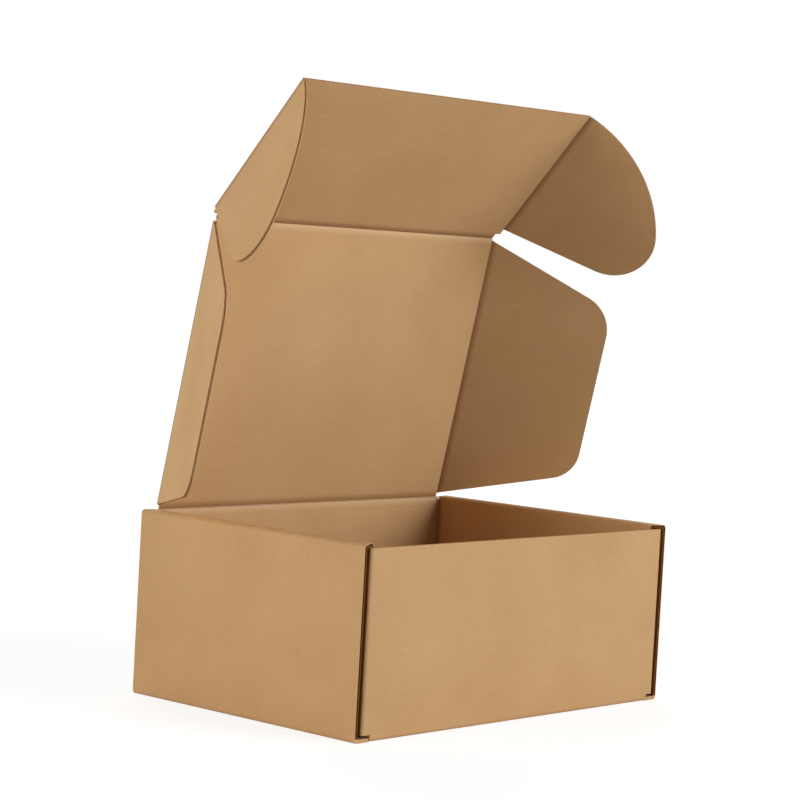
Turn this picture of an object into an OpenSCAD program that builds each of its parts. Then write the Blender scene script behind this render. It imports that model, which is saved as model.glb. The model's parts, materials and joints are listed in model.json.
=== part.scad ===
// Roll-end corrugated mailer box, stored open.
// The origin is the middle of the base's underside. The front wall faces -Y,
// the side walls stand at +X and -X, and the lid hinges on the back wall at +Y.

/* [Board] */
// Thickness of the corrugated board
board_t = 1.5; // [1.1:0.1:2.0]
// Inside radius of a folded edge
bend_r = 0.2; // [0.1:0.1:1]
// Play left between two layers that lie on each other
layer_gap = 0.15; // [0.1:0.05:0.4]
// Play left at a crease that a flap turns on
crease_gap = 0.2; // [0.15:0.05:0.3]

/* [Tray] */
// Width over the two side walls
box_w = 200; // [170:1:260]
// Depth over the front and back walls
box_d = 132; // [112:1:182]
// Height of the rolled side walls
wall_h = 79.5; // [60:0.5:110]
// Room in a rolled side wall between the outer wall and the corner flaps
corner_play = 1.9; // [1.5:0.1:4]
// How far a side wall's front and back edges stand back from the front and back walls
side_setback = 0.6; // [0.4:0.1:1.5]
// Play between the front wall's top and the underside of the side walls' flat tops
front_top_gap = 0.3; // [0.2:0.1:4]
// Play on each face of the front flap in the slot behind the front wall
flap_play = 0.2; // [0.1:0.05:0.6]
// Length of the corner flaps that run back inside the side walls
corner_l = 46; // [25:1:52]
// How far a corner flap's free end is narrowed at top and bottom
corner_taper = 6; // [2:0.5:12]

/* [Lock tabs] */
// Lock tabs on each inner side wall
tab_count = 2; // [1:1:3]
// Length of a lock tab
tab_l = 26; // [14:1:32]
// Play at each end of a lock tab in its slot
tab_end_play = 1; // [0.5:0.25:2]
// Play on each face of a lock tab in its slot
tab_face_play = 0.2; // [0.1:0.05:0.4]
// How far a lock tab's two lower corners are cut back along its edge
tab_taper = 0.8; // [0:0.1:2]

/* [Lid] */
// Height of the lid's hinge crease above the side walls' top
hinge_rise = 0.4; // [0.2:0.1:1]
// Angle of the lid from closed, as stored
lid_open = 78.1; // [70:0.1:180]

/* [Front flap] */
// Play between the tucked-in front flap and the base
flap_floor_gap = 1.6; // [0.8:0.1:25]
// Play between the tucked-in front flap's wide part and the side walls' flat tops
relief_gap = 0.5; // [0.3:0.1:3]
// Angle of the front flap from flat with the lid, as stored
flap_fold = 30; // [0:1:43]

/* [Ears] */
// How far an ear reaches out from its crease
ear_reach = 63.3; // [45:0.1:80]
// Distance from the front flap's relief to the start of an ear
ear_inset = 2.9; // [0.8:0.1:6]
// Angle that an ear's edge beside the wing slants in
ear_root_angle = 10.8; // [4:0.1:16]
// Radius of an ear's tip
ear_tip_r = 20.3; // [8:0.1:22]
// Straight length of an ear's free edge before its long curve starts
ear_free_l = 1.4; // [0.4:0.1:20]
// Angle of the left ear from flat, as stored
left_ear_fold = 59; // [0:1:90]
// Angle of the right ear from flat, as stored
right_ear_fold = 50; // [0:1:90]

/* [Wings] */
// How far a wing reaches out from its crease
wing_reach = 63.5; // [30:0.5:75]
// Distance from the hinge to the start of a wing
wing_start = 1.4; // [1:0.1:8]
// Distance from a wing's end to the front flap's crease
wing_end_gap = 2; // [1.8:0.1:8]
// Angle that a wing's two ends slant in
wing_angle = 19; // [10:1:28]
// Radius of a wing's corner beside the hinge
wing_back_r = 15; // [5:0.5:22]
// Radius of a wing's corner beside the front flap
wing_front_r = 18; // [5:0.5:22]
// Angle of the left wing from flat, as stored
left_wing_fold = 56; // [0:1:90]
// Angle of the right wing from flat, as stored
right_wing_fold = 45; // [0:1:90]

/* [Hidden] */
$fn = 64;
cut = 1; // how far a cutting solid runs past a face
fold_r = bend_r + board_t;
crease_room = board_t / 2 + crease_gap;

side_x = box_w / 2; // outer face of a side wall
spine_w = 4 * board_t + 2 * layer_gap + corner_play; // flat top over the four layers of board
inner_x = side_x - spine_w; // inner face of the rolled-down inner wall
ear_x = inner_x + board_t + layer_gap + board_t / 2; // an ear, pushed in behind the inner wall
corner_x = ear_x + board_t / 2 + layer_gap; // inner face of a corner flap
end_x = corner_x + board_t; // outer end of the front and back walls
front_y = -box_d / 2; // outer face of the front wall
back_y = box_d / 2; // outer face of the back wall
side_front_y = front_y + side_setback;
side_back_y = back_y - side_setback;
closed_flap_y = front_y + board_t + flap_play + board_t / 2; // the front flap, tucked in
inner_front_y = closed_flap_y + board_t / 2 + flap_play;
inner_back_y = back_y - board_t - layer_gap;
front_h = wall_h - board_t - front_top_gap;
hinge_y = back_y - board_t / 2;
hinge_z = wall_h + hinge_rise;
back_h = hinge_z - crease_room;
back_half_w = inner_x - layer_gap; // half the width of the back wall's top, between the spines
under_spine_h = wall_h - board_t - layer_gap;

lid_l = hinge_y - closed_flap_y; // from the hinge to the front flap's crease
flap_l = hinge_z - board_t - flap_floor_gap; // from the crease to the front flap's free edge
relief_h = hinge_rise + board_t + relief_gap; // narrow part of the front flap beside its crease
ear_start = relief_h + ear_inset;
wing_x = inner_x - layer_gap - board_t / 2; // a wing, folded down along the inner wall
lid_panel_half_w = wing_x - crease_room;
flap_panel_half_w = ear_x - crease_room;
board_colour = [0.77, 0.61, 0.43];

// A quarter of a folded edge: a bent strip of board of the given length along +Z,
// bent about the Z axis, from +X round to +Y
module bent_edge(length) {
    rotate_extrude(angle = 90) translate([bend_r, 0]) square([board_t, length]);
}

function unit(v) = v / norm(v);
// Half the angle of the corner p between its neighbours a and b
function half_angle(a, p, b) = acos(unit(a - p) * unit(b - p)) / 2;
// Where the rounding of the corner p starts and ends, and the centre of its arc
function tangent_points(a, p, b, r) =
    let (run = r / tan(half_angle(a, p, b))) [p + unit(a - p) * run, p + unit(b - p) * run];
function arc_centre(a, p, b, r) =
    p + unit(unit(a - p) + unit(b - p)) * r / sin(half_angle(a, p, b));

// The part of a disc about c that lies outside its chord from a to b
module disc_cap(c, a, b) {
    u = a - c;
    v = b - c;
    corner = c + (u + v) * (u * u) / (u * u + u * v); // where the tangents at a and b meet
    intersection() {
        polygon([a, corner, b]);
        translate(c) circle(r = norm(u));
    }
}

// A convex outline with true round corners: one point and one radius for each corner
module rounded_outline(points, radii) {
    n = len(points);
    before = [for (i = [0 : n - 1]) points[(i + n - 1) % n]];
    after = [for (i = [0 : n - 1]) points[(i + 1) % n]];
    polygon([
        for (i = [0 : n - 1])
            for (q = radii[i] > 0 ? tangent_points(before[i], points[i], after[i], radii[i]) : [points[i]]) q
    ]);
    for (i = [0 : n - 1])
        if (radii[i] > 0) {
            ends = tangent_points(before[i], points[i], after[i], radii[i]);
            disc_cap(arc_centre(before[i], points[i], after[i], radii[i]), ends[0], ends[1]);
        }
}

// The outline of a wing that stands out along +X from a crease along Y, its two ends slanted.
// The two round corners shrink together where the free edge is too short for them.
module wing_outline(start, end) {
    free_l = end - start - 2 * wing_reach * tan(wing_angle);
    run = 1 / tan(45 + wing_angle / 2); // from corner to tangent, for a radius of 1
    shrink = min(1, 0.98 * free_l / (run * (wing_back_r + wing_front_r)));
    slant = wing_reach * tan(wing_angle);
    rounded_outline(
        [[0, start], [wing_reach, start + slant], [wing_reach, end - slant], [0, end]],
        [0, wing_back_r * shrink, wing_front_r * shrink, 0]);
}

// The outline of an ear that stands out along +X from a crease along Y: a straight edge beside
// the wing, a round tip, and a long curve that runs from the tip back to the free edge
module ear_outline(start, end) {
    tip = [
        ear_reach - ear_tip_r,
        start + (ear_reach - ear_tip_r) * tan(ear_root_angle) + ear_tip_r / cos(ear_root_angle)
    ];
    across = tip.x - ear_free_l;
    along = end - tip.y;
    // the radius whose circle touches both the free edge and the tip's circle
    lock_r = (across * across + along * along - ear_tip_r * ear_tip_r) / (2 * (along - ear_tip_r));
    lock = [ear_free_l, end - lock_r];
    root_touch = tip + ear_tip_r * [sin(ear_root_angle), -cos(ear_root_angle)];
    tip_touch = tip + ear_tip_r * unit(tip - lock);
    free_touch = [ear_free_l, end];
    polygon([[0, start], root_touch, tip_touch, free_touch, [0, end]]);
    disc_cap(tip, root_touch, tip_touch);
    disc_cap(lock, tip_touch, free_touch);
}

// A flap and the round bead along its crease, folded up by an angle about the crease
module folding_flap(start, end, fold) {
    rotate([0, -fold, 0]) {
        linear_extrude(board_t, center = true) children();
        translate([0, start, 0]) rotate([-90, 0, 0]) cylinder(d = board_t, h = end - start);
    }
}

// Places its children in the lid's own plane: X across, Y away from the hinge, Z to the inside
module on_lid() {
    translate([0, hinge_y, hinge_z]) rotate([180 - lid_open, 0, 0]) children();
}

// Places its children in the front flap's own plane
module on_front_flap() {
    on_lid() translate([0, lid_l, 0]) rotate([flap_fold, 0, 0]) children();
}

// One side wall for +X: outer wall, flat top, inner wall and lock tabs. The flat top's ends
// slant from the long outer wall to the shorter inner wall, which leaves the front flap its slot.
module rolled_side_wall() {
    outer_l = side_back_y - side_front_y;
    inner_l = inner_back_y - inner_front_y;
    // outer wall, with the bend up from the base
    translate([side_x - board_t, side_front_y, fold_r])
        cube([board_t, outer_l, wall_h - 2 * fold_r]);
    translate([side_x - fold_r, side_front_y, fold_r])
        mirror([0, 0, 1]) side_bend(outer_l);
    // flat top between its two bends
    translate([side_x - fold_r, side_front_y, wall_h - fold_r]) side_bend(outer_l);
    translate([0, 0, wall_h - board_t]) linear_extrude(board_t)
        polygon([
            [inner_x + fold_r, inner_front_y],
            [side_x - fold_r, side_front_y],
            [side_x - fold_r, side_back_y],
            [inner_x + fold_r, inner_back_y]
        ]);
    translate([inner_x + fold_r, inner_front_y, wall_h - fold_r])
        mirror([1, 0, 0]) side_bend(inner_l);
    // inner wall, down to the base
    translate([inner_x, inner_front_y, board_t + layer_gap])
        cube([board_t, inner_l, wall_h - fold_r - board_t - layer_gap]);
    for (y = tab_centres()) translate([inner_x, y, 0]) lock_tab();
}

// A lock tab that stands through the base, its lower corners cut back
module lock_tab() {
    rotate([90, 0, 90]) linear_extrude(board_t)
        polygon([
            [tab_taper - tab_l / 2, 0],
            [tab_l / 2 - tab_taper, 0],
            [tab_l / 2, board_t],
            [tab_l / 2, 2 * board_t],
            [-tab_l / 2, 2 * board_t],
            [-tab_l / 2, board_t]
        ]);
}

// A bend along +Y from y = 0 that turns from the top of an upright wall at +X into a flat top
module side_bend(length) {
    translate([0, length, 0]) rotate([90, 0, 0]) bent_edge(length);
}

function tab_centres() =
    let (inner_l = inner_back_y - inner_front_y, middle = (inner_back_y + inner_front_y) / 2)
    [for (i = [0 : tab_count - 1]) middle + inner_l * ((i + 0.5) / tab_count - 0.5)];

// The slots in the base that one side's lock tabs drop into
module tab_slots() {
    for (y = tab_centres())
        translate([inner_x - tab_face_play, y - tab_l / 2 - tab_end_play, -cut])
            cube([board_t + 2 * tab_face_play, tab_l + 2 * tab_end_play, board_t + 2 * cut]);
}

// A corner flap for +X, running along +Y from y = 0 with its bend from the wall
module corner_flap(height) {
    bottom = 2 * board_t;
    translate([corner_x, 0, 0]) rotate([90, 0, 90]) linear_extrude(board_t)
        polygon([
            [fold_r, bottom],
            [corner_l, bottom + corner_taper],
            [corner_l, height - corner_taper],
            [fold_r, height]
        ]);
    translate([end_x - fold_r, fold_r, bottom]) rotate([0, 0, -90]) bent_edge(height - bottom);
}

// The front wall, its bend from the base and its two corner flaps
module front_wall() {
    straight_half = end_x - fold_r;
    bottom_half = inner_x - layer_gap;
    translate([-straight_half, front_y, 2 * board_t])
        cube([2 * straight_half, board_t, front_h - 2 * board_t]);
    translate([-bottom_half, front_y, fold_r])
        cube([2 * bottom_half, board_t, 2 * board_t]);
    translate([-bottom_half, front_y + fold_r, fold_r])
        rotate([90, 0, 90]) rotate([0, 0, 180]) bent_edge(2 * bottom_half);
    for (s = [0, 1])
        mirror([s, 0, 0]) translate([0, front_y, 0]) corner_flap(front_h);
}

// The back wall: its top stands up between the flat tops of the side walls
module back_wall() {
    straight_half = end_x - fold_r;
    bottom_half = inner_x - layer_gap;
    translate([-straight_half, back_y - board_t, 2 * board_t])
        cube([2 * straight_half, board_t, under_spine_h - 2 * board_t]);
    translate([-back_half_w, back_y - board_t, fold_r])
        cube([2 * back_half_w, board_t, back_h - fold_r]);
    translate([-bottom_half, back_y - fold_r, fold_r])
        rotate([90, 0, 90]) rotate([0, 0, -90]) bent_edge(2 * bottom_half);
    for (s = [0, 1])
        mirror([s, 0, 0]) translate([0, back_y, 0]) mirror([0, 1, 0]) corner_flap(under_spine_h);
}

// The base with the slots for the lock tabs. The bends of the front and back walls take the
// place of its front and back edges.
module base() {
    bend_l = fold_r - side_setback + cut;
    difference() {
        translate([-side_x + fold_r, side_front_y, 0])
            cube([2 * (side_x - fold_r), side_back_y - side_front_y, board_t]);
        for (s = [0, 1]) mirror([s, 0, 0]) tab_slots();
        translate([-inner_x, front_y + fold_r - bend_l, -cut])
            cube([2 * inner_x, bend_l, board_t + 2 * cut]);
        translate([-inner_x, back_y - fold_r, -cut])
            cube([2 * inner_x, bend_l, board_t + 2 * cut]);
    }
}

module tray() {
    color(board_colour) {
        base();
        front_wall();
        back_wall();
        for (s = [0, 1]) mirror([s, 0, 0]) rolled_side_wall();
    }
}

module lid() {
    color(board_colour) on_lid() {
        translate([-lid_panel_half_w, 0, -board_t / 2])
            cube([2 * lid_panel_half_w, lid_l - crease_room, board_t]);
        translate([-lid_panel_half_w, 0, 0])
            rotate([0, 90, 0]) cylinder(d = board_t, h = 2 * lid_panel_half_w);
    }
}

module front_flap() {
    color(board_colour) on_front_flap() {
        translate([-flap_panel_half_w, relief_h, -board_t / 2])
            cube([2 * flap_panel_half_w, flap_l - relief_h, board_t]);
        translate([-lid_panel_half_w, 0, -board_t / 2])
            cube([2 * lid_panel_half_w, relief_h + cut, board_t]);
        translate([-lid_panel_half_w, 0, 0])
            rotate([0, 90, 0]) cylinder(d = board_t, h = 2 * lid_panel_half_w);
    }
}

// An ear for +X, folded by the given angle
module ear(fold) {
    color(board_colour) on_front_flap() translate([ear_x, 0, 0])
        folding_flap(ear_start, flap_l, fold) ear_outline(ear_start, flap_l);
}

// A wing for +X, folded by the given angle
module wing(fold) {
    color(board_colour) on_lid() translate([wing_x, 0, 0])
        folding_flap(wing_start, lid_l - wing_end_gap, fold)
            wing_outline(wing_start, lid_l - wing_end_gap);
}

module left_ear() { mirror([1, 0, 0]) ear(left_ear_fold); }
module right_ear() { ear(right_ear_fold); }
module left_wing() { mirror([1, 0, 0]) wing(left_wing_fold); }
module right_wing() { wing(right_wing_fold); }

tray();
lid();
front_flap();
left_ear();
right_ear();
left_wing();
right_wing();
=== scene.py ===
import json
import math

import bmesh
import bpy
from mathutils import Matrix, Vector


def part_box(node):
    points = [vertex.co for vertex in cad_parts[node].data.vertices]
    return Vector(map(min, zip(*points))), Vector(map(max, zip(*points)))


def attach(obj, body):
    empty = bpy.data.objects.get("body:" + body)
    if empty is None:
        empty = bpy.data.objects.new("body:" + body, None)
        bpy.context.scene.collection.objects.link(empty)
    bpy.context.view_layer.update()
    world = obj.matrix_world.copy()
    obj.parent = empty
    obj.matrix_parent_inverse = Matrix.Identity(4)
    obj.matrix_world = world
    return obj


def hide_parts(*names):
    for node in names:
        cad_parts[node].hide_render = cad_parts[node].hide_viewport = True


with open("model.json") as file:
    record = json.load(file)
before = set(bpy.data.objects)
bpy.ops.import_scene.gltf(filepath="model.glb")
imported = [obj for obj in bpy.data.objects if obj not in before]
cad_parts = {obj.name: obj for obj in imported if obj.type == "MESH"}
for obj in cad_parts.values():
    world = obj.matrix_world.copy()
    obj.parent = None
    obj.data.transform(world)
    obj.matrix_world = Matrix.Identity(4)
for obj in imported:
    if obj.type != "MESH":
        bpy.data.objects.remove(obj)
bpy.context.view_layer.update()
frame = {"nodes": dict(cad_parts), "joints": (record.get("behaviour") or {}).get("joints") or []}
scene = bpy.context.scene
mm = 0.001
joints = {joint["name"]: joint for joint in frame["joints"]}
print("frame loaded:", len(frame["nodes"]), "nodes")


# the board as it is sold: what every panel's edges and flutes are worked out from
board = {
    "thickness": 1.5 * mm,
    "liner": 0.34 * mm,  # paper seen on each side of a cut edge
    "edgeDepth": 0.6 * mm,  # how far one looks in between the liners
    "mediumThickness": 0.16 * mm,
    "flutePitch": 3.4 * mm,
}


def setSockets(node, values):
    for name, value in values.items():
        node.inputs[name].default_value = value


def newNode(tree, kind, **settings):
    node = tree.nodes.new(kind)
    for name, value in settings.items():
        setattr(node, name, value)
    return node


kraft = {
    "colour": (0.575, 0.350, 0.166, 1),
    "pale": (0.625, 0.393, 0.198, 1),
    "deep": (0.515, 0.302, 0.136, 1),
    "deepBelow": 0.30,  # where the pattern is all deep, and all pale
    "paleAbove": 0.70,
    "blotchScale": 22,
    "fibreScale": (90, 1100, 1),  # fibres and press marks run along the flutes
    "fibreShare": 0.34,
    "speckScale": 1100,
    "speckShare": 0.28,
    "fleck": (0.74, 0.68, 0.62, 1),  # single dark fibres in the paper
    "fleckAmount": (0.62, 0.70),
    "fleckShare": 0.40,
    "fleckScale": (1300, 5200, 1),
    "fleckTurn": 0.35,
    "creaseShade": (0.62, 0.55, 0.48, 1),  # painted shade: the folding panel darkens where it meets its crease
    "creaseShadeWidth": 3.4 * mm,
    "creasePaintedHighlight": (0.76, 0.535, 0.320, 1),  # and the next panel has a painted highlight beside it
    "creasePaintedHighlightWidth": 4.5 * mm,
    "creasePaintedHighlightShare": 0.75,
    # bumps: strength and depth
    "washboard": (0.03, 0.3 * mm),
    "warp": (0.10, 3 * mm),
    "grain": (0.22, 0.1 * mm),
    "roughness": 0.80,
    "specular": 0.2,
    # share of the kraft colour that the liner and the fluted paper have, and the darker painted shade of
    # the hollows
    "linerTint": (1, 1, 1),
    "mediumTint": (0.80, 0.80, 0.80),
    "paintedShadeTint": (0.40, 0.25, 0.09),
}


def tinted(colour, tint):
    return [value * share for value, share in zip(colour[:3], tint)] + [1]


def noise(tree, place, sockets):
    node = newNode(tree, "ShaderNodeTexNoise")
    setSockets(node, sockets)
    tree.links.new(place, node.inputs["Vector"])
    return node.outputs["Fac"]


def stretched(tree, place, scale, turn=0):
    node = newNode(tree, "ShaderNodeMapping")
    setSockets(node, {"Scale": scale, "Rotation": (0, 0, turn)})
    tree.links.new(place, node.inputs["Vector"])
    return node.outputs["Vector"]


def sharedPattern(tree, first, second, secondShare):
    node = newNode(tree, "ShaderNodeMix", data_type="FLOAT")
    node.inputs["Factor"].default_value = secondShare
    tree.links.new(first, node.inputs["A"])
    tree.links.new(second, node.inputs["B"])
    return node.outputs["Result"]


def painted(tree, under, colour, amount, blend="MIX"):
    node = newNode(tree, "ShaderNodeMix", data_type="RGBA", blend_type=blend)
    node.inputs["B"].default_value = colour
    tree.links.new(amount, node.inputs["Factor"])
    tree.links.new(under, node.inputs["A"])
    return node.outputs["Result"]


def smoothStep(tree, value, valueRange, resultRange):
    node = newNode(tree, "ShaderNodeMapRange", interpolation_type="SMOOTHSTEP")
    setSockets(node, dict(zip(("From Min", "From Max"), valueRange)))
    setSockets(node, dict(zip(("To Min", "To Max"), resultRange)))
    tree.links.new(value, node.inputs["Value"])
    return node.outputs["Result"]


def bumped(tree, height, strengthAndDepth, under=None):
    node = newNode(tree, "ShaderNodeBump")
    setSockets(node, dict(zip(("Strength", "Distance"), strengthAndDepth)))
    tree.links.new(height, node.inputs["Height"])
    if under:
        tree.links.new(under, node.inputs["Normal"])
    return node.outputs["Normal"]


def deepToPale(tree, pattern, tint):
    node = newNode(tree, "ShaderNodeValToRGB")
    deep, pale = node.color_ramp.elements
    deep.position, deep.color = kraft["deepBelow"], tinted(kraft["deep"], tint)
    pale.position, pale.color = kraft["paleAbove"], tinted(kraft["pale"], tint)
    middle = node.color_ramp.elements.new((kraft["deepBelow"] + kraft["paleAbove"]) / 2)
    middle.color = tinted(kraft["colour"], tint)
    tree.links.new(pattern, node.inputs["Fac"])
    return node.outputs["Color"]


def fluteWave(tree, boardMap):
    across = newNode(tree, "ShaderNodeSeparateXYZ")
    tree.links.new(boardMap, across.inputs["Vector"])
    turns = newNode(tree, "ShaderNodeMath", operation="MULTIPLY")
    turns.inputs[1].default_value = 2 * math.pi / board["flutePitch"]
    tree.links.new(across.outputs["Y"], turns.inputs[0])
    wave = newNode(tree, "ShaderNodeMath", operation="SINE")
    tree.links.new(turns.outputs["Value"], wave.inputs[0])
    return wave.outputs["Value"]


def kraftPaper(name, tint):
    # brown paper: cloudy patches, fine fibres along the flutes, dark flecks, and painted shade and a
    # painted highlight at the creases
    material = bpy.data.materials.new(name)
    material.use_nodes = True
    tree = material.node_tree
    tree.nodes.clear()
    output = newNode(tree, "ShaderNodeOutputMaterial")
    shader = newNode(tree, "ShaderNodeBsdfPrincipled")
    tree.links.new(shader.outputs["BSDF"], output.inputs["Surface"])
    setSockets(shader, {"Roughness": kraft["roughness"], "Specular IOR Level": kraft["specular"]})

    place = newNode(tree, "ShaderNodeTexCoord").outputs["Object"]
    boardMap = newNode(tree, "ShaderNodeUVMap", uv_map="boardMap").outputs["UV"]
    alongFlutes = stretched(tree, boardMap, kraft["fibreScale"])
    scattered = stretched(tree, boardMap, kraft["fleckScale"], kraft["fleckTurn"])
    blotches = noise(tree, place, {"Scale": kraft["blotchScale"], "Detail": 5, "Roughness": 0.55})
    fibres = noise(tree, alongFlutes, {"Scale": 1, "Detail": 4, "Roughness": 0.65})
    specks = noise(tree, place, {"Scale": kraft["speckScale"], "Detail": 3, "Roughness": 0.75})
    flecks = noise(tree, scattered, {"Scale": 1, "Detail": 1, "Roughness": 0.5, "Distortion": 0.6})
    clouds = sharedPattern(tree, blotches, fibres, kraft["fibreShare"])
    pattern = sharedPattern(tree, clouds, specks, kraft["speckShare"])

    # creaseMap holds how far a point is from its own crease, and from the next panel's
    creases = newNode(tree, "ShaderNodeSeparateXYZ")
    creaseMap = newNode(tree, "ShaderNodeUVMap", uv_map="creaseMap").outputs["UV"]
    tree.links.new(creaseMap, creases.inputs["Vector"])
    flecked = smoothStep(tree, flecks, kraft["fleckAmount"], (0, kraft["fleckShare"]))
    # painted highlight: paler beside the next panel's crease
    paintedHighlight = smoothStep(
        tree, creases.outputs["Y"], (0, kraft["creasePaintedHighlightWidth"]), (kraft["creasePaintedHighlightShare"], 0))
    # painted shade: darker beside the panel's own crease
    shaded = smoothStep(tree, creases.outputs["X"], (0, kraft["creaseShadeWidth"]), (1, 0))
    colour = deepToPale(tree, pattern, tint)
    colour = painted(tree, colour, kraft["fleck"], flecked, "MULTIPLY")
    colour = painted(tree, colour, tinted(kraft["creasePaintedHighlight"], tint), paintedHighlight)
    colour = painted(tree, colour, kraft["creaseShade"], shaded, "MULTIPLY")
    tree.links.new(colour, shader.inputs["Base Color"])

    # the liner dips a little between the flutes, the panel is warped and the paper has a grain
    surface = bumped(tree, fluteWave(tree, boardMap), kraft["washboard"])
    surface = bumped(tree, blotches, kraft["warp"], surface)
    surface = bumped(tree, pattern, kraft["grain"], surface)
    tree.links.new(surface, shader.inputs["Normal"])
    return material


kraftLiner = kraftPaper("kraftLiner", kraft["linerTint"])
kraftMedium = kraftPaper("kraftMedium", kraft["mediumTint"])
# painted shade: a darker copy of the paper, for the hollows and cut edges that lie in shade
kraftPaintedShade = kraftPaper("kraftPaintedShade", kraft["paintedShadeTint"])
print("kraft paper ready")


panel = {
    "weldWithin": 0.001 * mm,
    "flatWithin": 0.4,  # degrees between two faces that are one
    "softBelow": 28,  # degrees at an edge that is shaded round
    "cutFaceTilt": 0.3,  # a cut edge's faces lean towards the panel's face by less than this
    "endFacing": 0.9,  # the free end's face looks outwards by more than this
    "noCrease": 1.0,  # metres from a crease where there is none, far past all shade
}


def mergedCopy(node):
    bm = bmesh.new()
    bm.from_mesh(frame["nodes"][node].data)
    bmesh.ops.remove_doubles(bm, verts=bm.verts, dist=panel["weldWithin"])
    bmesh.ops.dissolve_limit(
        bm, angle_limit=math.radians(panel["flatWithin"]), verts=bm.verts, edges=bm.edges)
    return bm


def openEdges(bm, faces, depth):
    # sinks the middle of each cut edge, so that the two liners stand on both sides
    bmesh.ops.inset_region(
        bm, faces=faces, thickness=board["liner"], depth=0, use_even_offset=True, use_boundary=True)
    inner = [face for face in faces if face.is_valid]
    deeper = bmesh.ops.extrude_face_region(bm, geom=inner)
    moved = [item for item in deeper["geom"] if isinstance(item, bmesh.types.BMVert)]
    inward = {vert: Vector() for vert in moved}
    for face in [item for item in deeper["geom"] if isinstance(item, bmesh.types.BMFace)]:
        for vert in face.verts:
            if vert in inward:
                inward[vert] -= face.normal
    for vert, direction in inward.items():
        if direction.length > 0:
            vert.co += direction.normalized() * depth
    bmesh.ops.delete(bm, geom=inner, context="FACES_ONLY")
    return inward


def keepBetweenLiners(sunk, origin, normal):
    # an inset that starts on a narrow face can step past the board's own face
    reach = board["thickness"] / 2 - board["liner"]
    for vert in sunk:
        for corner in [vert] + [edge.other_vert(vert) for edge in vert.link_edges]:
            height = (corner.co - origin).dot(normal)
            if abs(height) > reach:
                corner.co -= normal * (height - math.copysign(reach, height))


def mapBoard(bm, origin, alongFlutes, acrossFlutes):
    layer = bm.loops.layers.uv.new("boardMap")
    for face in bm.faces:
        for loop in face.loops:
            place = loop.vert.co - origin
            loop[layer].uv = (place.dot(alongFlutes), place.dot(acrossFlutes))


def mapCreases(bm, ownCrease=None, nextCrease=None):
    # each crease is a point on it and the direction that leads away from it over the panel
    layer = bm.loops.layers.uv.new("creaseMap")
    for face in bm.faces:
        for loop in face.loops:
            loop[layer].uv = [
                abs((loop.vert.co - crease[0]).dot(crease[1])) if crease else panel["noCrease"]
                for crease in (ownCrease, nextCrease)]


def finishPiece(bm, name, body, node, materials):
    for face in bm.faces:
        face.smooth = True
    for edge in bm.edges:
        if len(edge.link_faces) == 2:
            edge.smooth = edge.calc_face_angle(math.pi) < math.radians(panel["softBelow"])
    mesh = bpy.data.meshes.new(name)
    bm.to_mesh(mesh)
    bm.free()
    piece = bpy.data.objects.new(name, mesh)
    scene.collection.objects.link(piece)
    for material in materials:
        mesh.materials.append(material)
    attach(piece, body)
    if node:
        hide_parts(node)


def creaseOf(jointName):
    joint = joints[jointName]
    return Vector(joint["pos_m"]), Vector(joint["axis"]).normalized()


def distanceFromLine(point, origin, direction):
    offset = point - origin
    return (offset - direction * offset.dot(direction)).length


scoreWeb = {
    "nearest": 0.80 * mm,  # from the crease's axis, just clear of the round edge that turns there
    "farthest": 1.00 * mm,
    "thickness": 0.90 * mm,
}


def addScoreWeb(bm, jointName):
    # the paper that still joins two panels at a score, a little below both faces
    origin, crease = creaseOf(jointName)
    end = [
        vert.co - origin for vert in bm.verts
        if distanceFromLine(vert.co, origin, crease) < board["thickness"]]
    along = [offset.dot(crease) for offset in end]
    inward = sum((offset - crease * offset.dot(crease) for offset in end), Vector()).normalized()
    length = max(along) - min(along)
    middle = origin + crease * (max(along) + min(along)) / 2
    middle += inward * (scoreWeb["nearest"] + scoreWeb["farthest"]) / 2
    turn = Matrix((crease, inward, crease.cross(inward))).transposed().to_4x4()
    size = Matrix.Diagonal((length, scoreWeb["farthest"] - scoreWeb["nearest"], scoreWeb["thickness"], 1))
    bmesh.ops.create_cube(bm, size=1, matrix=Matrix.Translation(middle) @ turn @ size)


def outlinePoints(face, origin, crease, clearOf):
    # the panel's own outline in order, from one end of the crease round to the other
    points = [vert.co.copy() for vert in face.verts]
    far = [distanceFromLine(point, origin, crease) > clearOf for point in points]
    start = next(i for i in range(len(points)) if far[i] and not far[i - 1])
    ordered = []
    for step in range(len(points)):
        i = (start + step) % len(points)
        if not far[i]:
            break
        ordered.append(points[i])
    before = points[start - 1]
    after = points[(start + len(ordered)) % len(points)]
    return [before] + ordered + [after]


def resample(points, spacing):
    dense = []
    for a, b in zip(points, points[1:]):
        count = max(1, round((b - a).length / spacing))
        dense += [a.lerp(b, k / count) for k in range(count)]
    return dense + [points[-1]]


def inwardAt(points, i, normal):
    before, after = points[max(i - 1, 0)], points[min(i + 1, len(points) - 1)]
    return normal.cross(after - before).normalized()


flutes = {
    "pointsPerWave": 14,
    "setBack": 0.12 * mm,  # from the liners' cut edges
}


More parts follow.
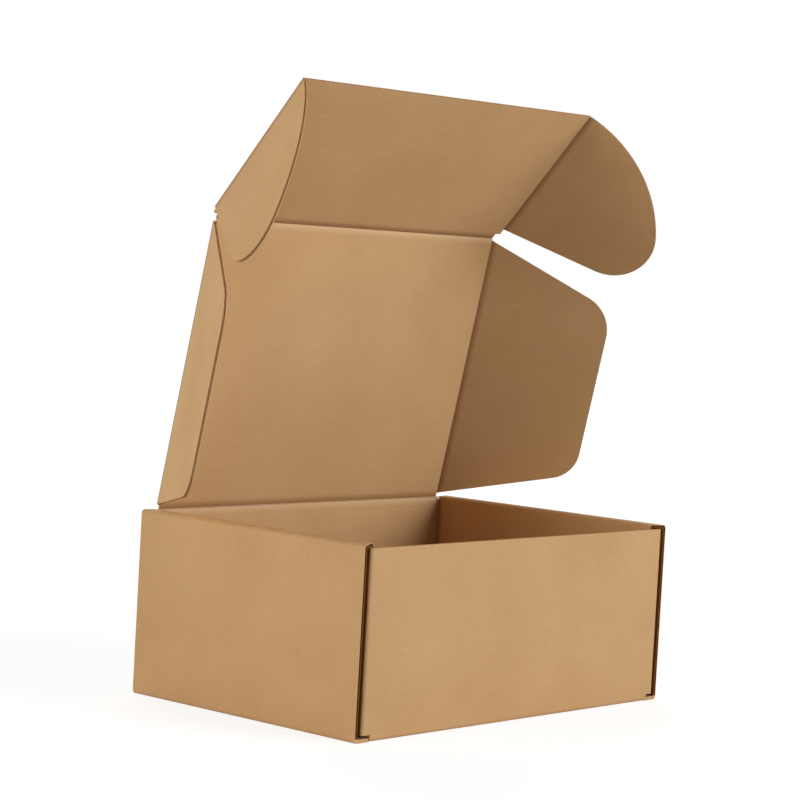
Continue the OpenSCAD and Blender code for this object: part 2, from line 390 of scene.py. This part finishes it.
def fluteRibbon(name, body, path, normal, crease, origin):
    # the wavy paper between the liners, seen end on round a free edge
    swing = board["thickness"] / 2 - board["liner"] - board["mediumThickness"] / 2
    points = resample(path, board["flutePitch"] / flutes["pointsPerWave"])
    bm = bmesh.new()
    outer = []
    for i, point in enumerate(points):
        wave = math.sin(2 * math.pi * (point - origin).dot(crease) / board["flutePitch"])
        setBack = inwardAt(points, i, normal) * flutes["setBack"]
        outer.append(bm.verts.new(point + normal * wave * swing + setBack))
    edges = [bm.edges.new(pair) for pair in zip(outer, outer[1:])]
    grown = bmesh.ops.extrude_edge_only(bm, edges=edges)
    inner = [item for item in grown["geom"] if isinstance(item, bmesh.types.BMVert)]
    for i, vert in enumerate(inner):
        vert.co += inwardAt(points, i, normal) * board["edgeDepth"]
    bmesh.ops.recalc_face_normals(bm, faces=bm.faces)
    bmesh.ops.solidify(bm, geom=bm.faces, thickness=board["mediumThickness"])
    mapBoard(bm, origin, normal.cross(crease), crease)
    mapCreases(bm)
    finishPiece(bm, name, body, None, [kraftMedium])


def sidePanel(name, node, jointName):
    # an ear or a wing: flutes run out from its crease, and its free edge shows them end on
    origin, crease = creaseOf(jointName)
    bm = mergedCopy(node)
    face = max(bm.faces, key=lambda f: f.calc_area())
    normal = face.normal.copy()
    path = outlinePoints(face, origin, crease, board["thickness"])
    path = [point - normal * board["thickness"] / 2 for point in path]
    cutFaces = [
        f for f in bm.faces
        if abs(f.normal.dot(normal)) < panel["cutFaceTilt"]
        and distanceFromLine(f.calc_center_median(), origin, crease) > board["thickness"]]
    keepBetweenLiners(openEdges(bm, cutFaces, board["edgeDepth"]), origin, normal)
    mapBoard(bm, origin, normal.cross(crease), crease)
    mapCreases(bm, ownCrease=(origin, normal.cross(crease)))
    finishPiece(bm, name, node, node, [kraftLiner])
    fluteRibbon(name + "Flutes", node, path, normal, crease, origin)


for side in ("left", "right"):
    sidePanel(side + "EarBoard", side + "_ear", side + "_ear_fold")
for side in ("left", "right"):
    sidePanel(side + "WingBoard", side + "_wing", side + "_wing_fold")
print("ears and wings made")


def creasedPanel(name, node, jointName, childJoints, nextCrease=None, cutEdge=False):
    # the lid or the front flap: flutes run across the box, so only the free edge opens
    origin, crease = creaseOf(jointName)
    bm = mergedCopy(node)
    face = max(bm.faces, key=lambda f: f.calc_area())
    outward = face.normal.cross(crease).normalized()
    centre = face.calc_center_median() - origin
    if centre.dot(outward) < 0:
        outward = -outward
    if cutEdge:
        ends = [f for f in bm.faces if f.normal.dot(outward) > panel["endFacing"]]
        openEdges(bm, ends, board["edgeDepth"])
    for childJoint in childJoints:
        addScoreWeb(bm, childJoint)
    mapBoard(bm, origin, crease, outward)
    beside = (creaseOf(nextCrease)[0], outward) if nextCrease else None
    mapCreases(bm, ownCrease=(origin, outward), nextCrease=beside)
    finishPiece(bm, name, node, node, [kraftLiner])


creasedPanel(
    "lidBoard", "lid", "lid_hinge", ["front_flap_fold", "left_wing_fold", "right_wing_fold"],
    nextCrease="front_flap_fold")
creasedPanel(
    "frontFlapBoard", "front_flap", "front_flap_fold", ["left_ear_fold", "right_ear_fold"], cutEdge=True)
print("lid and front flap made")


# places across the box are counted from its middle
tray = {
    "foldRadius": 1.7 * mm,
    "cutAboveFold": 0.1 * mm,  # the walls' faces are parted this far above the folds
    "slitsUpTo": 3.1 * mm,  # the front and back walls are narrower below this height
    "wallWidth": 9 * mm,  # a rolled side wall lies within this of the box's side
    "frontEdges": 4 * mm,  # its front cut edges lie within this of the box's front
    "backEdges": 2 * mm,  # and its back ones within this of the back
    "frontWallTop": (1 * mm, 4 * mm),  # how far below the side walls' tops it lies
    "wallEnds": 63 * mm,  # just inside the front and back walls
    "hollow": (93.2 * mm, 98.6 * mm),  # faces inside a rolled side wall
    "innerWalls": 91.8 * mm,
    "innerWallsEnd": 64.35 * mm,
    "faceWithin": 0.1 * mm,  # how near a face is to its wall's place
    "frontWallEnd": 96.7 * mm,
    "backWallDepth": 1.8 * mm,
    "sideEdgeDepth": 1.3 * mm,
    "topEdgeDepth": 0.35 * mm,
    "outerLiner": 0.7 * mm,  # at a side wall's cut edge this much stays pale, the rest gets painted shade
    "topLiner": 1.26 * mm,
}

# how much of a face's normal lies along a direction that the face looks in
facing = {"mostly": 0.5, "nearly": 0.8, "squarely": 0.9, "level": 0.99}


def trayEdges(bm):
    # the cut edges of the rolled side walls, and the front wall's top edge
    low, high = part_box("tray")
    thick = board["thickness"]
    topFrom, topTo = tray["frontWallTop"]
    sideEdges, topEdges = [], []
    for face in bm.faces:
        centre, normal = face.calc_center_median(), face.normal
        fromSide, fromTop = high.x - abs(centre.x), high.z - centre.z
        inFront = centre.y < low.y + tray["frontEdges"]
        atBack = centre.y > high.y - tray["backEdges"]
        looksOut = (inFront and normal.y < -facing["nearly"]) or (atBack and normal.y > facing["nearly"])
        onSideWall = fromSide < thick or fromTop < 2 * thick or abs(centre.y) < tray["wallEnds"]
        onSideWall = onSideWall and fromSide < tray["wallWidth"] and centre.z > tray["foldRadius"]
        if looksOut and onSideWall:
            sideEdges.append(face)
        if inFront and normal.z > facing["level"] and topFrom < fromTop < topTo:
            topEdges.append(face)
    return sideEdges, topEdges


def mapTray(bm):
    # flutes run across the box in the base, the front and the back, and so upright in its sides;
    # the back wall has a painted highlight at the lid's crease, and the inner walls have painted shade
    # beside the back wall
    boardMap = bm.loops.layers.uv.new("boardMap")
    creaseMap = bm.loops.layers.uv.new("creaseMap")
    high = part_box("tray")[1]
    lidHinge = creaseOf("lid_hinge")[0]
    for face in bm.faces:
        centre, normal = face.calc_center_median(), face.normal
        backWall = centre.y > high.y - tray["backWallDepth"] and abs(normal.y) > facing["mostly"]
        innerWall = abs(abs(centre.x) - tray["innerWalls"]) < tray["faceWithin"]
        innerWall = innerWall and abs(normal.x) > facing["squarely"]
        for loop in face.loops:
            place = loop.vert.co
            if abs(normal.y) > facing["mostly"]:
                loop[boardMap].uv = (place.x, place.z + place.y)
            elif abs(normal.x) > facing["mostly"]:
                loop[boardMap].uv = (place.z, place.y)
            else:
                loop[boardMap].uv = (place.x, place.y)
            loop[creaseMap].uv = (
                tray["innerWallsEnd"] - place.y if innerWall else panel["noCrease"],
                lidHinge.z - place.z if backWall else panel["noCrease"])


def shadeHollows(bm, sunk):
    # painted shade: the hollow side walls are painted dark inside, and so are their opened cut edges
    low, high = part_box("tray")
    thick = board["thickness"]
    nearest, farthest = tray["hollow"]
    for face in bm.faces:
        centre, normal = face.calc_center_median(), face.normal
        across = abs(centre.x)
        inside = nearest < across < farthest and abs(normal.x) > facing["squarely"]
        sheltered = nearest < across < high.x - tray["outerLiner"]
        sheltered = sheltered and tray["foldRadius"] < centre.z < high.z - tray["topLiner"]
        onWall = centre.y < low.y + thick or centre.y > high.y - thick
        wallEnd = onWall and across < tray["frontWallEnd"]
        innerLiner = sheltered and abs(normal.y) > facing["nearly"] and not wallEnd
        innerLiner = innerLiner and abs(centre.y) > tray["wallEnds"]
        if inside or innerLiner or any(vert in sunk for vert in face.verts):
            face.material_index = 1


def trayBoard():
    bm = mergedCopy("tray")
    for height in (tray["foldRadius"] + tray["cutAboveFold"], tray["slitsUpTo"]):
        bmesh.ops.bisect_plane(
            bm, geom=bm.verts[:] + bm.edges[:] + bm.faces[:], dist=panel["weldWithin"],
            plane_co=(0, 0, height), plane_no=(0, 0, 1))
    sideEdges, topEdges = trayEdges(bm)
    sunk = openEdges(bm, sideEdges, tray["sideEdgeDepth"])
    openEdges(bm, topEdges, tray["topEdgeDepth"])
    addScoreWeb(bm, "lid_hinge")
    mapTray(bm)
    shadeHollows(bm, sunk)
    finishPiece(bm, "trayBoard", "tray", "tray", [kraftLiner, kraftPaintedShade])


trayBoard()
print("tray made")


stage = {
    "floorSize": 60.0,
    "floorColour": (0.36, 0.36, 0.36, 1),
    "floorGlow": 0.80,  # lifts the floor to white where nothing shades it, for the camera only
    "floorBounce": (0.85, 0.85, 0.85, 1),
    "skyLight": 0.11,
    "skySeen": 1.0,
    "lamps": {
        # name: strength, softness in degrees, colour, direction that it comes from
        "frontLamp": (2.33, 42, (1.0, 1.0, 1.0), (0.484, -0.806, 0.342)),
        "leftLamp": (2.20, 40, (1.0, 0.965, 0.90), (-0.960, 0.214, 0.174)),
        "backLamp": (1.15, 50, (1.0, 0.995, 0.98), (0.450, 0.683, 0.574)),
    },
}


def cameraOrReflection(tree):
    # 1 for what the camera sees itself, in a reflection or through glass
    rays = newNode(tree, "ShaderNodeLightPath")
    seen = newNode(tree, "ShaderNodeMath", operation="MAXIMUM")
    either = newNode(tree, "ShaderNodeMath", operation="MAXIMUM")
    tree.links.new(rays.outputs["Is Glossy Ray"], either.inputs[0])
    tree.links.new(rays.outputs["Is Transmission Ray"], either.inputs[1])
    tree.links.new(rays.outputs["Is Camera Ray"], seen.inputs[0])
    tree.links.new(either.outputs["Value"], seen.inputs[1])
    return seen.outputs["Value"]


def paleFloor():
    material = bpy.data.materials.new("paleFloor")
    material.use_nodes = True
    tree = material.node_tree
    tree.nodes.clear()
    output = newNode(tree, "ShaderNodeOutputMaterial")
    lit = newNode(tree, "ShaderNodeBsdfDiffuse")
    glow = newNode(tree, "ShaderNodeEmission")
    seen = newNode(tree, "ShaderNodeAddShader")
    bounce = newNode(tree, "ShaderNodeBsdfDiffuse")
    lit.inputs["Color"].default_value = stage["floorColour"]
    glow.inputs["Strength"].default_value = stage["floorGlow"]
    bounce.inputs["Color"].default_value = stage["floorBounce"]
    mix = newNode(tree, "ShaderNodeMixShader")
    tree.links.new(lit.outputs["BSDF"], seen.inputs[0])
    tree.links.new(glow.outputs["Emission"], seen.inputs[1])
    tree.links.new(cameraOrReflection(tree), mix.inputs["Fac"])
    tree.links.new(bounce.outputs["BSDF"], mix.inputs[1])
    tree.links.new(seen.outputs["Shader"], mix.inputs[2])
    tree.links.new(mix.outputs["Shader"], output.inputs["Surface"])
    bm = bmesh.new()
    bmesh.ops.create_grid(bm, x_segments=1, y_segments=1, size=stage["floorSize"] / 2)
    mesh = bpy.data.meshes.new("floor")
    bm.to_mesh(mesh)
    bm.free()
    floor = bpy.data.objects.new("floor", mesh)
    mesh.materials.append(material)
    scene.collection.objects.link(floor)


def whiteSky():
    world = bpy.data.worlds.new("whiteSky")
    scene.world = world
    world.use_nodes = True
    tree = world.node_tree
    tree.nodes.clear()
    output = newNode(tree, "ShaderNodeOutputWorld")
    light = newNode(tree, "ShaderNodeBackground")
    seen = newNode(tree, "ShaderNodeBackground")
    setSockets(light, {"Color": (1, 1, 1, 1), "Strength": stage["skyLight"]})
    setSockets(seen, {"Color": (1, 1, 1, 1), "Strength": stage["skySeen"]})
    mix = newNode(tree, "ShaderNodeMixShader")
    tree.links.new(cameraOrReflection(tree), mix.inputs["Fac"])
    tree.links.new(light.outputs["Background"], mix.inputs[1])
    tree.links.new(seen.outputs["Background"], mix.inputs[2])
    tree.links.new(mix.outputs["Shader"], output.inputs["Surface"])


def softLamps():
    for name, (strength, softness, colour, direction) in stage["lamps"].items():
        lamp = bpy.data.lights.new(name, "SUN")
        lamp.energy = strength
        lamp.angle = math.radians(softness)
        lamp.color = colour
        sun = bpy.data.objects.new(name, lamp)
        sun.rotation_euler = Vector(direction).to_track_quat("Z", "Y").to_euler()
        scene.collection.objects.link(sun)


paleFloor()
whiteSky()
softLamps()
print("stage ready")


# the photograph's viewpoint, turned and zoomed on to the box
view = {
    "place": (-0.8276, -0.7342, 0.1896),
    "pitchDown": 3.04,
    "heading": 48.02,  # degrees from +Y towards +X
    "roll": 3.22,
    "lens": 113.5,
    "sensor": 36,
    "seesTo": 200,
}


def photoCamera():
    data = bpy.data.cameras.new("photoCamera")
    data.lens = view["lens"]
    data.sensor_width = view["sensor"]
    data.clip_end = view["seesTo"]
    camera = bpy.data.objects.new("photoCamera", data)
    turn = Matrix.Rotation(math.radians(-view["heading"]), 4, "Z")
    tip = Matrix.Rotation(math.radians(90 - view["pitchDown"]), 4, "X")
    lean = Matrix.Rotation(math.radians(view["roll"]), 4, "Z")
    camera.matrix_world = Matrix.Translation(view["place"]) @ turn @ tip @ lean
    scene.collection.objects.link(camera)
    scene.camera = camera


photoCamera()
scene.view_settings.view_transform = "Standard"
